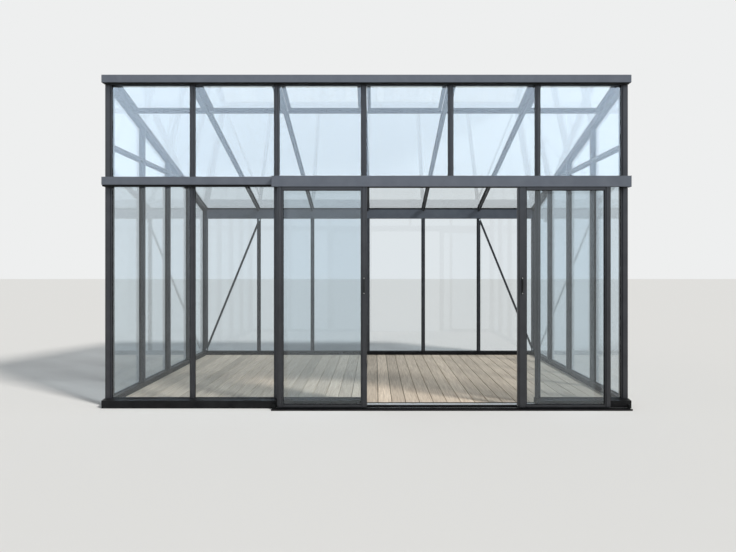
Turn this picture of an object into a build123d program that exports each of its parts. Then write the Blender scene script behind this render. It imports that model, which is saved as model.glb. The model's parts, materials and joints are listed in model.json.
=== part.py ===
from build123d import *
import os
from math import cos, radians, sin, tan

os.makedirs("parts", exist_ok=True)

# A walk-in glass greenhouse with a single-pitch roof, all sizes in millimetres.
# X runs along the glazed front, Y from the front to the back, Z up.
# The origin is under the middle of the plan, on the level it stands on.

# Plan of the frame, on the centre lines of the bars
plan_width = 4600
plan_depth = 3000
fixed_bay = 750
fixed_bay_count = 2
door_bay_count = 4
side_bay_count = 4
wall_depth = 60
post_width = 64
corner_reach = 30

# Heights
ridge_height = 2935
fascia_height = 67
mid_rail_foot = 1968
mid_rail_height = 70
sill_height = 75
side_rail_height = 2330
eave_beam_height = 135
threshold_height = 28
floor_top = 25

# Roof
roof_pitch = 15.6
roof_step = 22
roof_overhang = 30
vent_reach = 490
vent_clearance = 5

# Glazing bar section, and the glass that its slot takes
bar_width = 45
bar_chamfer = 1.5
nose_width = 18
nose_depth = 9
nose_chamfer = 4
cap_depth = 14
slot_width = 6
flange_depth = 8
web_width = 12
stem_width = 25
glass = 5
glass_edge_gap = 5
groove_depth = 15
seat_gap = 0.3

# Rails that stand proud of the front bars
proud = 60
sill_fall = 7

# Shallow steps along both edges of the faces of posts and door stiles
post_step = 15
stile_step = 12
stile_step_depth = 7

# Sliding door leaves
leaf_depth = 40
leaf_face = 112
stile_width = 52
meeting_strip = 26
leaf_overlap = 9
leaf_foot = 21
leaf_head = 1970
head_rail_foot = 1914
foot_rail_head = 44
leaf_groove = 12
leaf_chamfer = 2
left_leaf_past = 8.5
right_leaf_short = 182.5

# Header and track that the leaves run in
header_reach = 125
header_top = 2037
header_lip = 1942
header_plate = 8
cover_plate = 7
track_reach = 150
track_base = 8
track_rail = 16
track_lip = 4
runner_width = 8
track_end_short = 27

# Rollers and handles of the leaves
roller_radius = 6
roller_width = 8
axle_radius = 2
roller_slot_width = 10
roller_slot_length = 18
roller_slot_head = 30
roller_inset = 130
handle_height = 1080
handle_length = 160
handle_width = 20
handle_plate = 4
grip_length = 104
grip_width = 7
grip_reach = 20

# Eaves gutter and braces
gutter_width = 90
gutter_rise = 25
gutter_height = 65
gutter_wall = 4
brace_width = 30
brace_depth = 6

# Roof vents and the cross bars that they close on
sash_width = 30
sash_depth = 25
cross_bar_width = 30
cross_bar_depth = 12

# Places worked out from the sizes above
door_bay = (plan_width - fixed_bay * fixed_bay_count) / door_bay_count
bay_widths = [fixed_bay] * fixed_bay_count + [door_bay] * door_bay_count
bay_lines = [sum(bay_widths[:n]) - plan_width / 2 for n in range(len(bay_widths) + 1)]
side_face = plan_width / 2 + corner_reach
post_edge = side_face - post_width

side_bay = plan_depth / side_bay_count
frame_depth = plan_depth + wall_depth
front_face = track_reach - (track_reach + frame_depth + gutter_width) / 2
back_face = front_face + frame_depth
front_inside = front_face + wall_depth
back_inside = back_face - wall_depth
side_lines = [front_face + wall_depth / 2 + side_bay * n for n in range(side_bay_count + 1)]
side_inside = side_face - wall_depth

slot_near = cap_depth
slot_far = cap_depth + slot_width
flange_far = slot_far + flange_depth
glass_near = slot_near + (slot_width - glass) / 2
pane_inset = web_width / 2 + glass_edge_gap
post_pane_edge = post_edge + groove_depth - glass_edge_gap
mid_rail_head = mid_rail_foot + mid_rail_height
ridge_foot = ridge_height - fascia_height

door_left_line = bay_lines[3]
door_right_line = bay_lines[5]
door_left_edge = door_left_line + bar_width / 2
door_right_edge = door_right_line - bar_width / 2
track_start = bay_lines[2] - bar_width / 2
track_length = side_face - track_end_short - track_start

slope = tan(radians(roof_pitch))
rise = cos(radians(roof_pitch))
lean = sin(radians(roof_pitch))
rafter_start = ridge_height - roof_step
eave_beam_head = rafter_start - flange_far / rise - (back_inside - front_inside) * slope
eave_beam_foot = eave_beam_head - eave_beam_height
gutter_foot = eave_beam_foot + gutter_rise
# Looking down the slope from the ridge: sketch X is the part's X, sketch Y is down through the roof.
down_slope = Plane(origin=(0, front_inside, rafter_start), x_dir=(1, 0, 0), z_dir=(0, rise, -lean))


def roof_layer(depth):
    """The plane at this depth under the tops of the rafters, facing up."""
    height = rafter_start - depth / rise
    return Plane(origin=(0, front_inside, height), x_dir=(1, 0, 0), z_dir=(0, lean, rise))


def finish(piece, name):
    """Labels a piece and writes it."""
    piece.label = name
    export_step(piece, f"parts/{name}.step")


def bar_layer(width, near, far):
    """One layer of a glazing bar, drawn inwards from its outer face."""
    with Locations((0, (near + far) / 2)):
        Rectangle(width, far - near)


def glazing_bar():
    """Section of a bar: a chamfered nose on the cap, the web between two panes, flange and stem."""
    half = nose_width / 2
    Polygon(
        (-half, nose_depth),
        (-half, nose_chamfer),
        (nose_chamfer - half, 0),
        (half - nose_chamfer, 0),
        (half, nose_chamfer),
        (half, nose_depth),
        align=None,
    )
    bar_layer(bar_width, nose_depth, cap_depth)
    bar_layer(web_width, slot_near, slot_far)
    bar_layer(bar_width, slot_far, flange_far)
    bar_layer(stem_width, flange_far, wall_depth)


def span(low, high, near, far, mode=Mode.ADD):
    """A rectangle given by its edges, in the sketch's own directions."""
    with Locations(((low + high) / 2, (near + far) / 2)):
        Rectangle(high - low, far - near, mode=mode)


# Ground frame: sills under the four walls, the threshold and the door track

# The front sill stands proud of the wall and sheds water to the front.
front_sills = {
    "front_sill_left": (-side_face, door_left_edge),
    "front_sill_right": (door_right_edge, side_face),
}
for name, (left, right) in front_sills.items():
    with BuildPart() as front_sill:
        with BuildSketch(Plane.YZ.offset(left)):
            Polygon(
                (front_face - proud, 0),
                (front_inside, 0),
                (front_inside, sill_height),
                (front_face, sill_height),
                (front_face - proud, sill_height - sill_fall),
                align=None,
            )
            groove_foot = sill_height - groove_depth
            groove = (front_face + slot_near, front_face + slot_far)
            span(*groove, groove_foot, sill_height, mode=Mode.SUBTRACT)
        extrude(amount=right - left)
    finish(front_sill.part, name)

with BuildPart() as door_threshold:
    with BuildSketch(Plane.YZ.offset(door_left_edge)):
        span(front_face - proud, front_inside, 0, threshold_height)
    extrude(amount=door_right_edge - door_left_edge)
    front_edge = door_threshold.edges().filter_by(Axis.X).group_by(Axis.Z)[-1].sort_by(Axis.Y)[0]
    chamfer(front_edge, length=bar_chamfer)
finish(door_threshold.part, "door_threshold")

with BuildPart() as back_sill:
    with BuildSketch(Plane.YZ.offset(-side_face)):
        span(back_inside, back_face, 0, sill_height)
        groove = (back_face - slot_far, back_face - slot_near)
        span(*groove, sill_height - groove_depth, sill_height, mode=Mode.SUBTRACT)
    extrude(amount=2 * side_face)
finish(back_sill.part, "back_sill")

for name, side in (("left_sill", -1), ("right_sill", 1)):
    with BuildPart() as side_sill:
        with BuildSketch(Plane.XZ.offset(-front_inside)):
            with Locations((side * (side_face - wall_depth / 2), sill_height / 2)):
                Rectangle(wall_depth, sill_height)
            groove_middle = side * (side_face - (slot_near + slot_far) / 2)
            with Locations((groove_middle, sill_height - groove_depth / 2)):
                Rectangle(slot_width, groove_depth, mode=Mode.SUBTRACT)
        extrude(amount=front_inside - back_inside)
    finish(side_sill.part, name)

# The track has a front lip, a runner for the rollers and a back lip, all as high as each other.
runner_middle = front_face - leaf_face + leaf_depth / 2
with BuildPart() as door_track:
    with BuildSketch(Plane.YZ.offset(track_start)):
        span(front_face - track_reach, front_face - proud, 0, track_base)
        span(front_face - track_reach, front_face - track_reach + track_lip, 0, track_rail)
        span(runner_middle - runner_width / 2, runner_middle + runner_width / 2, 0, track_rail)
        span(front_face - proud - track_lip, front_face - proud, 0, track_rail)
    extrude(amount=track_length)
finish(door_track.part, "door_track")


# Posts at the four corners, with a groove for the glass of each wall that meets there
post_grooves = (slot_near + slot_far) / 2
for name, side, face, inwards in (
    ("front_left_post", -1, front_face, 1),
    ("front_right_post", 1, front_face, 1),
    ("back_left_post", -1, back_face, -1),
    ("back_right_post", 1, back_face, -1),
):
    with BuildPart() as corner_post:
        with BuildSketch(Plane.XY.offset(sill_height)):
            with Locations((side * (side_face - post_width / 2), face + inwards * wall_depth / 2)):
                Rectangle(post_width, wall_depth)
            for middle in (post_edge + post_step / 2, side_face - post_step / 2):
                with Locations((side * middle, face + inwards * nose_depth / 2)):
                    Rectangle(post_step, nose_depth, mode=Mode.SUBTRACT)
            for middle in (post_step / 2, wall_depth - post_step / 2):
                with Locations((side * (side_face - nose_depth / 2), face + inwards * middle)):
                    Rectangle(nose_depth, post_step, mode=Mode.SUBTRACT)
            with Locations((side * (post_edge + groove_depth / 2), face + inwards * post_grooves)):
                Rectangle(groove_depth, slot_width, mode=Mode.SUBTRACT)
            side_groove_middle = face + inwards * (wall_depth - groove_depth / 2)
            with Locations((side * (side_face - post_grooves), side_groove_middle)):
                Rectangle(slot_width, groove_depth, mode=Mode.SUBTRACT)
        extrude(amount=ridge_foot - sill_height)
        if inwards == -1:
            split(bisect_by=roof_layer(flange_far), keep=Keep.BOTTOM)
    finish(corner_post.part, name)

# Front wall: bars under and over the mid rail, which is also the head of the doorway.
# Bays and the lines between them count from the left, and the doors cover bays 3 and 4.
glazed_lower_bays = (0, 1, 2, 5)
lower_bar_lines = [bay_lines[n] for n in (1, 2, 3, 5)]
with BuildPart() as front_lower_mullions:
    with BuildSketch(Plane.XY.offset(sill_height)):
        with Locations(*[(line, front_face) for line in lower_bar_lines]):
            glazing_bar()
    extrude(amount=mid_rail_foot - sill_height)
finish(front_lower_mullions.part, "front_lower_mullions")

with BuildPart() as front_upper_mullions:
    with BuildSketch(Plane.XY.offset(mid_rail_head)):
        with Locations(*[(line, front_face) for line in bay_lines[1:-1]]):
            glazing_bar()
    extrude(amount=ridge_foot - mid_rail_head)
finish(front_upper_mullions.part, "front_upper_mullions")

front_groove = (front_face + slot_near, front_face + slot_far)
with BuildPart() as mid_rail:
    with BuildSketch(Plane.YZ.offset(-side_face)):
        span(front_face - proud, front_face, mid_rail_foot, mid_rail_head)
    extrude(amount=2 * side_face)
    with BuildSketch(Plane.YZ.offset(-post_edge)):
        span(front_face, front_inside, mid_rail_foot, mid_rail_head)
        span(*front_groove, mid_rail_foot, mid_rail_foot + groove_depth, mode=Mode.SUBTRACT)
        span(*front_groove, mid_rail_head - groove_depth, mid_rail_head, mode=Mode.SUBTRACT)
    extrude(amount=2 * post_edge)
    rail_front = mid_rail.edges().filter_by(Axis.X).group_by(Axis.Y)[0]
    chamfer(rail_front, length=bar_chamfer)
finish(mid_rail.part, "mid_rail")

# The ridge beam carries the high ends of the rafters, and its face is the fascia.
with BuildPart() as ridge_beam:
    with BuildSketch(Plane.YZ.offset(-side_face)):
        Polygon(
            (front_face - proud, ridge_foot),
            (front_inside, ridge_foot),
            (front_inside, ridge_height - roof_step + bar_chamfer),
            (front_face, ridge_height),
            (front_face - proud, ridge_height),
            align=None,
        )
        span(*front_groove, ridge_foot, ridge_foot + groove_depth, mode=Mode.SUBTRACT)
    extrude(amount=2 * side_face)
    fascia_edges = ridge_beam.edges().filter_by(Axis.X).group_by(Axis.Y)[0]
    chamfer(fascia_edges, length=bar_chamfer)
finish(ridge_beam.part, "ridge_beam")

# Door header: a plate out from the mid rail, and the cover that hangs from it before the leaves
with BuildPart() as door_header:
    with BuildSketch(Plane.YZ.offset(track_start)):
        header_back = front_face - proud
        span(front_face - header_reach + cover_plate, header_back, header_top - header_plate, header_top)
    extrude(amount=track_length)
finish(door_header.part, "door_header")

with BuildPart() as header_cover:
    with BuildSketch(Plane.YZ.offset(track_start)):
        cover_back = front_face - header_reach + cover_plate
        span(front_face - header_reach, cover_back, header_lip, header_top)
    extrude(amount=track_length)
    cover_edges = header_cover.edges().filter_by(Axis.X).group_by(Axis.Y)[0]
    chamfer(cover_edges, length=bar_chamfer)
finish(header_cover.part, "header_cover")

# Back wall: an eaves beam between the posts, with the gutter on its outer face
back_groove = (back_face - slot_far, back_face - slot_near)
with BuildPart() as eave_beam:
    with BuildSketch(Plane.YZ.offset(-post_edge)):
        span(back_inside, back_face, eave_beam_foot, ridge_foot)
        span(*back_groove, eave_beam_foot, eave_beam_foot + groove_depth, mode=Mode.SUBTRACT)
    extrude(amount=2 * post_edge)
    split(bisect_by=roof_layer(flange_far), keep=Keep.BOTTOM)
finish(eave_beam.part, "eave_beam")

gutter_back = back_face + gutter_width
with BuildPart() as gutter:
    with BuildSketch(Plane.YZ.offset(-side_face)):
        span(back_face, gutter_back, gutter_foot, gutter_foot + gutter_height)
        inside_foot = gutter_foot + gutter_wall
        inside_back = gutter_back - gutter_wall
        gutter_head = gutter_foot + gutter_height
        span(back_face + gutter_wall, inside_back, inside_foot, gutter_head, mode=Mode.SUBTRACT)
    extrude(amount=2 * side_face)
    with BuildSketch(Plane.YZ.offset(-side_face), Plane.YZ.offset(side_face - gutter_wall)):
        span(back_face, gutter_back, gutter_foot, gutter_head)
    extrude(amount=gutter_wall)
finish(gutter.part, "gutter")

with BuildPart() as back_mullions:
    with BuildSketch(Plane.XY.offset(sill_height)):
        with Locations(*[Location((line, back_face), 180) for line in bay_lines[1:-1]]):
            glazing_bar()
    extrude(amount=eave_beam_foot - sill_height)
finish(back_mullions.part, "back_mullions")

# Flat braces across the end bays of the back wall, from the head of a bar to the foot of a post
brace_head_line = bay_lines[-2]
brace_half = brace_width / 2
brace_foot_line = post_edge + brace_half
with BuildPart() as wind_braces:
    with BuildSketch(Plane.XZ.offset(-back_inside)):
        for side in (-1, 1):
            Polygon(
                (side * (brace_head_line - brace_half), eave_beam_foot),
                (side * (brace_head_line + brace_half), eave_beam_foot),
                (side * (brace_foot_line + brace_half), sill_height),
                (side * (brace_foot_line - brace_half), sill_height),
                align=None,
            )
    extrude(amount=brace_depth)
finish(wind_braces.part, "wind_braces")


# Side walls: upright bars cut to the slope, and a rail across all bays but the lowest one
railed_bays = side_bay_count - 1
for word, side in (("left", -1), ("right", 1)):
    with BuildPart() as side_mullions:
        with BuildSketch(Plane.XY.offset(sill_height)):
            turn = 90 * side
            with Locations(*[Location((side * side_face, line), turn) for line in side_lines[1:-1]]):
                glazing_bar()
        extrude(amount=ridge_foot - sill_height)
        split(bisect_by=roof_layer(wall_depth), keep=Keep.BOTTOM)
    finish(side_mullions.part, f"{word}_side_mullions")

    with BuildPart() as side_rail:
        rail_starts = [front_inside] + [line + bar_width / 2 for line in side_lines[1:railed_bays]]
        rail_ends = [line - bar_width / 2 for line in side_lines[1 : railed_bays + 1]]
        for start, end in zip(rail_starts, rail_ends):
            with BuildSketch(Plane.XZ.offset(-start)):
                with Locations(Location((side * side_face, side_rail_height), 90 * side)):
                    glazing_bar()
            extrude(amount=start - end)
        split(bisect_by=roof_layer(wall_depth), keep=Keep.BOTTOM)
    finish(side_rail.part, f"{word}_side_rail")

# Rafters: plumb cut on the ridge beam, notched over the eaves beam, with tails over the gutter
rafter_length = (back_face + roof_overhang - front_inside) / rise + wall_depth
tail_end = Plane(origin=(0, back_face + roof_overhang, 0), x_dir=(1, 0, 0), z_dir=(0, 1, 0))
plumb_cut = Plane(origin=(0, front_inside, 0), x_dir=(1, 0, 0), z_dir=(0, 1, 0))

notch_far = back_face + roof_overhang + wall_depth
with BuildPart() as eave_notch:
    with BuildSketch(Plane.YZ.offset(-side_face - wall_depth)):
        Polygon(
            (back_inside, eave_beam_head),
            (notch_far, eave_beam_head - (notch_far - back_inside) * slope),
            (notch_far, eave_beam_foot),
            (back_inside, eave_beam_foot),
            align=None,
        )
    extrude(amount=2 * (side_face + wall_depth))


def trim_rafters():
    """Cuts rafters plumb at the ridge and at the tail, and notches them over the eaves beam."""
    split(bisect_by=plumb_cut, keep=Keep.TOP)
    split(bisect_by=tail_end, keep=Keep.BOTTOM)
    add(eave_notch.part, mode=Mode.SUBTRACT)


with BuildPart() as inner_rafters:
    with BuildSketch(down_slope):
        with Locations(*[(line, 0) for line in bay_lines[1:-1]]):
            glazing_bar()
    extrude(amount=rafter_length)
    trim_rafters()
finish(inner_rafters.part, "inner_rafters")

for word, side in (("left", -1), ("right", 1)):
    with BuildPart() as end_rafter:
        with BuildSketch(down_slope):
            with Locations((side * (side_face - post_width / 2), wall_depth / 2)):
                Rectangle(post_width, wall_depth)
            with Locations((side * (post_edge + groove_depth / 2), (slot_near + slot_far) / 2)):
                Rectangle(groove_depth, slot_width, mode=Mode.SUBTRACT)
            with Locations((side * (side_face - post_grooves), wall_depth - groove_depth / 2)):
                Rectangle(slot_width, groove_depth, mode=Mode.SUBTRACT)
        extrude(amount=rafter_length)
        trim_rafters()
    finish(end_rafter.part, f"{word}_rafter")

# Cross bars between the rafters, where the vents end and the fixed roof panes begin
roof_gaps = [
    (max(left, -post_edge - bar_width / 2), min(right, post_edge + bar_width / 2))
    for left, right in zip(bay_lines[:-1], bay_lines[1:])
]
bar_half = bar_width / 2
with BuildPart() as roof_cross_bars:
    with BuildSketch(down_slope.offset(vent_reach - cross_bar_width / 2)):
        for left, right in roof_gaps:
            span(left + bar_half, right - bar_half, slot_far, slot_far + cross_bar_depth)
    extrude(amount=cross_bar_width)
finish(roof_cross_bars.part, "roof_cross_bars")

# Roof vents, hinged at the ridge and closed on the cross bars
sash_edge = bar_half + vent_clearance
sash_start = (seat_gap + sash_depth * lean) / rise
sash_spans = [(left + sash_edge, right - sash_edge) for left, right in roof_gaps]
sash_top = roof_layer(slot_far - sash_depth)
with BuildPart() as vent_frames:
    with BuildSketch(sash_top):
        for left, right in sash_spans:
            span(left, right, sash_start, vent_reach)
            inner = (left + sash_width, right - sash_width)
            span(*inner, sash_start + sash_width, vent_reach - sash_width, mode=Mode.SUBTRACT)
    extrude(amount=-sash_depth)
finish(vent_frames.part, "vent_frames")

with BuildPart() as vent_glass:
    with BuildSketch(sash_top.offset(-(sash_depth - glass) / 2)):
        for left, right in sash_spans:
            inner = (left + sash_width, right - sash_width)
            span(*inner, sash_start + sash_width, vent_reach - sash_width)
    extrude(amount=-glass)
finish(vent_glass.part, "vent_glass")


# Glass of the fixed bays, in the slots of the bars and the grooves of the rails
def pane_edges(bay):
    """Left and right edges of the pane in a bay of the front, back or roof."""
    left = bay_lines[bay] + pane_inset if bay > 0 else -post_pane_edge
    right = bay_lines[bay + 1] - pane_inset if bay < len(bay_widths) - 1 else post_pane_edge
    return left, right


seat = groove_depth - seat_gap
held = groove_depth - glass_edge_gap
with BuildPart() as front_lower_glass:
    with BuildSketch(Plane.XZ.offset(-front_face - glass_near)):
        for bay in glazed_lower_bays:
            span(*pane_edges(bay), sill_height - seat, mid_rail_foot + held)
    extrude(amount=-glass)
finish(front_lower_glass.part, "front_lower_glass")

with BuildPart() as front_upper_glass:
    with BuildSketch(Plane.XZ.offset(-front_face - glass_near)):
        for bay in range(len(bay_widths)):
            span(*pane_edges(bay), mid_rail_head - seat, ridge_foot + held)
    extrude(amount=-glass)
finish(front_upper_glass.part, "front_upper_glass")

with BuildPart() as back_glass:
    with BuildSketch(Plane.XZ.offset(-back_face + glass_near)):
        for bay in range(len(bay_widths)):
            span(*pane_edges(bay), sill_height - seat, eave_beam_foot + held)
    extrude(amount=glass)
finish(back_glass.part, "back_glass")

glass_head_start = rafter_start - (wall_depth - held) / rise
glass_front = front_inside - held
glass_back = back_inside + held
for word, side in (("left", -1), ("right", 1)):
    with BuildPart() as side_glass:
        with BuildSketch(Plane.YZ.offset(side * (side_face - glass_near) - max(side, 0) * glass)):
            for bay in range(side_bay_count):
                start = side_lines[bay] + pane_inset if bay > 0 else glass_front
                last = bay == side_bay_count - 1
                end = glass_back if last else side_lines[bay + 1] - pane_inset
                span(start, end, sill_height - seat, side_rail_height - pane_inset)
                if bay < railed_bays:
                    foot = side_rail_height + web_width / 2 + seat_gap
                    span(start, end, foot, ridge_foot - seat_gap)
            notch_head = sill_height + seat_gap
            span(glass_front, front_inside, 0, notch_head, mode=Mode.SUBTRACT)
            span(back_inside, glass_back, 0, notch_head, mode=Mode.SUBTRACT)
            Polygon(
                (glass_front, 0),
                (glass_back, 0),
                (glass_back, glass_head_start - (glass_back - front_inside) * slope),
                (glass_front, glass_head_start + (front_inside - glass_front) * slope),
                align=None,
                mode=Mode.INTERSECT,
            )
        extrude(amount=glass)
    finish(side_glass.part, f"{word}_glass")

roof_glass_start = vent_reach + glass_edge_gap
with BuildPart() as roof_glass:
    with BuildSketch(down_slope.offset(roof_glass_start)):
        for bay in range(len(bay_widths)):
            span(*pane_edges(bay), glass_near, glass_near + glass)
    extrude(amount=(back_face + roof_overhang - front_inside) / rise - roof_glass_start)
finish(roof_glass.part, "roof_glass")

# Floor: one deck of boards inside the sills
with BuildPart() as timber_floor:
    with BuildSketch():
        span(-side_inside, side_inside, front_inside, back_inside)
    extrude(amount=floor_top)
finish(timber_floor.part, "timber_floor")


# Sliding leaves, each with two stiles, two rails, a pane, two rollers and a handle
leaf_front = front_face - leaf_face
leaf_back = leaf_front + leaf_depth
leaf_middle = (leaf_front + leaf_back) / 2
leaf_slot = (leaf_middle - slot_width / 2, leaf_middle + slot_width / 2)
leaf_glass_width = door_bay + leaf_overlap - 2 * stile_width
left_leaf_lead = door_left_edge + left_leaf_past
right_leaf_lead = door_right_edge - right_leaf_short
left_leaf_tail = left_leaf_lead - 2 * stile_width - leaf_glass_width
right_leaf_glass = right_leaf_lead + stile_width + meeting_strip
leaves = {
    "left_door": (left_leaf_tail, left_leaf_tail + stile_width, left_leaf_lead),
    "right_door": (right_leaf_lead, right_leaf_glass, right_leaf_glass + leaf_glass_width + stile_width),
}
for word, (leaf_left, glass_left, leaf_right) in leaves.items():
    glass_right = glass_left + leaf_glass_width
    with BuildPart() as door_stiles:
        with BuildSketch(Plane.XY.offset(leaf_foot)) as stile_plan:
            span(leaf_left, glass_left, leaf_front, leaf_back)
            span(glass_right, leaf_right, leaf_front, leaf_back)
            for edge in (leaf_left, glass_left - stile_step, glass_right, leaf_right - stile_step):
                step = (edge, edge + stile_step)
                span(*step, leaf_front, leaf_front + stile_step_depth, mode=Mode.SUBTRACT)
            chamfer(stile_plan.vertices().group_by(Axis.Y)[0], length=leaf_chamfer)
            span(glass_left - leaf_groove, glass_left, *leaf_slot, mode=Mode.SUBTRACT)
            span(glass_right, glass_right + leaf_groove, *leaf_slot, mode=Mode.SUBTRACT)
        extrude(amount=leaf_head - leaf_foot)
    finish(door_stiles.part, f"{word}_stiles")

    roller_places = (glass_left + roller_inset, glass_right - roller_inset)
    with BuildPart() as door_rails:
        with BuildSketch(Plane.YZ.offset(glass_left)) as rail_ends:
            span(leaf_front, leaf_back, leaf_foot, foot_rail_head)
            span(leaf_front, leaf_back, head_rail_foot, leaf_head)
            chamfer(rail_ends.vertices(), length=leaf_chamfer)
            span(*leaf_slot, foot_rail_head - leaf_groove, foot_rail_head, mode=Mode.SUBTRACT)
            span(*leaf_slot, head_rail_foot, head_rail_foot + leaf_groove, mode=Mode.SUBTRACT)
        extrude(amount=leaf_glass_width)
        with BuildSketch(Plane.XY.offset(leaf_foot)):
            with Locations(*[(place, leaf_middle) for place in roller_places]):
                Rectangle(roller_slot_length, roller_slot_width)
        extrude(amount=roller_slot_head - leaf_foot, mode=Mode.SUBTRACT)
    finish(door_rails.part, f"{word}_rails")

    pane_left = glass_left - leaf_groove + seat_gap
    pane_right = glass_right + leaf_groove - seat_gap
    pane_foot = foot_rail_head - leaf_groove + seat_gap
    pane_head = head_rail_foot + leaf_groove - seat_gap
    with BuildPart() as door_glass:
        with BuildSketch(Plane.XZ.offset(-leaf_middle - glass / 2)):
            span(pane_left, pane_right, pane_foot, pane_head)
        extrude(amount=glass)
    finish(door_glass.part, f"{word}_glass")

    axle_height = track_rail + seat_gap + roller_radius
    with BuildPart() as door_rollers:
        with BuildSketch(Plane.XZ.offset(-leaf_middle - roller_width / 2)):
            with Locations(*[(place, axle_height) for place in roller_places]):
                Circle(roller_radius)
        extrude(amount=roller_width)
        with BuildSketch(Plane.XZ.offset(-leaf_middle - roller_slot_width / 2)):
            with Locations(*[(place, axle_height) for place in roller_places]):
                Circle(axle_radius)
        extrude(amount=roller_slot_width)
    finish(door_rollers.part, f"{word}_rollers")

    if word == "left_door":
        handle_line = (glass_right + leaf_right) / 2
    else:
        handle_line = (leaf_left + glass_left) / 2
    with BuildPart() as door_handle:
        with BuildSketch(Plane.XZ.offset(-leaf_front)):
            with Locations((handle_line, handle_height)):
                SlotOverall(handle_length, handle_width, rotation=90)
        extrude(amount=handle_plate)
        with BuildSketch(Plane.XZ.offset(-leaf_front + handle_plate)):
            with Locations((handle_line, handle_height)):
                Rectangle(grip_width, grip_length)
        extrude(amount=grip_reach)
    finish(door_handle.part, f"{word}_handle")
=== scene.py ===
# %% [markdown]
# # A glass greenhouse
# The construction comes in as a fixed frame of solids at their real size. This file gives each solid
# the surface of the real material, and adds what is too fine for the construction: rubber beads round
# the panes, floor boards, screws, hinges, seals and pulls. Everything is in metres, with X along the
# glazed front, Y to the back and Z up.

# %% Load the frame
import json
import math

import bmesh
import bpy
from mathutils import Matrix, Vector


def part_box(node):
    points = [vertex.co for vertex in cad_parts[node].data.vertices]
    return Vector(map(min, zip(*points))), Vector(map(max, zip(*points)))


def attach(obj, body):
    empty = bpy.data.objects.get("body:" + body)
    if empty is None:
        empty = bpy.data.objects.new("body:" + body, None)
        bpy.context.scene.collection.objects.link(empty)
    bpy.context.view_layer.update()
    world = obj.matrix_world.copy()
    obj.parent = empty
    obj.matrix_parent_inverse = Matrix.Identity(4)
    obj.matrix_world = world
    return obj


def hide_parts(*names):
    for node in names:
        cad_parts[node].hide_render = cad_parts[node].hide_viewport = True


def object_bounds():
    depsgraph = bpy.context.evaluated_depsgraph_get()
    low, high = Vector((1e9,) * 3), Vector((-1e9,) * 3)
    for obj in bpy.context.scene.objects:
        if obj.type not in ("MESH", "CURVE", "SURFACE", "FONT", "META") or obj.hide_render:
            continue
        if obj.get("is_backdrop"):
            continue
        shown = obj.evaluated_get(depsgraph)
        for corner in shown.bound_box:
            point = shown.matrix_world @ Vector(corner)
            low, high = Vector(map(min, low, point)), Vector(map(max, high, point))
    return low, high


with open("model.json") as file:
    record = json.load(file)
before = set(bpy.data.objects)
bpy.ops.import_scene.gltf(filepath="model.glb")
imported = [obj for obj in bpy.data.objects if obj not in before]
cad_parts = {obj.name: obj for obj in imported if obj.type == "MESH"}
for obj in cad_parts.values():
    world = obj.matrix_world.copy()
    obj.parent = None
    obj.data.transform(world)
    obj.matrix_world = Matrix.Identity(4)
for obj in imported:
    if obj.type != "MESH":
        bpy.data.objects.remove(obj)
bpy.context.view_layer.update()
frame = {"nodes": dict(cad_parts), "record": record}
nodes = frame["nodes"]

# %% [markdown]
# The camera comes first, because every look at the model goes through it. The photograph was taken level,
# square to the front, from 5.3 m away at chest height. Its vanishing point lies a little right of and
# above the middle of the picture, so the lens is shifted by that much instead of being tilted. A tilt
# would make the posts lean together.

# %% Camera
picture_width = 736
focal_pixels = 595
camera_distance = 5.29
camera_height = 1.235
camera_x = 0.0756
vanishing_point_from_middle = (7, 8)

front_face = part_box("front_lower_mullions")[0].y
camera_data = bpy.data.cameras.new("camera")
camera_data.sensor_width = 36
camera_data.lens = focal_pixels / picture_width * camera_data.sensor_width
camera_data.shift_x = -vanishing_point_from_middle[0] / picture_width
camera_data.shift_y = -vanishing_point_from_middle[1] / picture_width
camera = bpy.data.objects.new("camera", camera_data)
bpy.context.scene.collection.objects.link(camera)
camera.location = (camera_x, front_face - camera_distance, camera_height)
camera.rotation_euler = (math.radians(90), 0, 0)
bpy.context.scene.camera = camera
print("lens", round(camera_data.lens, 2), "mm, front face at", round(front_face, 3))

# %% [markdown]
# A colour on screen is an sRGB value, and a shader wants a linear one. One function turns the hex value
# of a colour into the other. A second one adds a node with its settings and its links in one call. The
# short ones after it add what comes back in most materials: a place, noise, a change of range, a blend
# of two colours, a bump and the shader at the end.


# %% Colour and node helpers
def colour(hex_value):
    """Linear RGBA from an sRGB hex string."""
    shares = [int(hex_value[n : n + 2], 16) / 255 for n in (1, 3, 5)]
    return [s / 12.92 if s <= 0.04045 else ((s + 0.055) / 1.055) ** 2.4 for s in shares] + [1]


def add(tree, kind, inputs=None, **settings):
    """Adds a node. Each input is a value, or an output of another node."""
    node = tree.nodes.new(kind)
    for name, value in settings.items():
        setattr(node, name, value)
    for name, value in (inputs or {}).items():
        if isinstance(value, bpy.types.NodeSocket):
            tree.links.new(value, node.inputs[name])
        else:
            node.inputs[name].default_value = value
    return node


def new_material(name):
    """A material with nothing but its output. Returns the material, its tree and the output."""
    material = bpy.data.materials.new(name)
    material.use_nodes = True
    tree = material.node_tree
    tree.nodes.clear()
    return material, tree, tree.nodes.new("ShaderNodeOutputMaterial")


def object_place(tree):
    """The place on a piece, in metres."""
    return add(tree, "ShaderNodeTexCoord").outputs["Object"]


def noise(tree, place, scale, detail, roughness=0.5):
    """Uneven values from about 0 to 1. The scale is how many waves there are to a metre."""
    inputs = {"Vector": place, "Scale": scale, "Detail": detail, "Roughness": roughness}
    return add(tree, "ShaderNodeTexNoise", inputs).outputs["Fac"]


def spread(tree, value, to_min, to_max, from_min=0, from_max=1):
    """A value, taken from one range to another."""
    inputs = {"Value": value, "From Min": from_min, "From Max": from_max}
    return add(tree, "ShaderNodeMapRange", {**inputs, "To Min": to_min, "To Max": to_max}).outputs[0]


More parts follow.
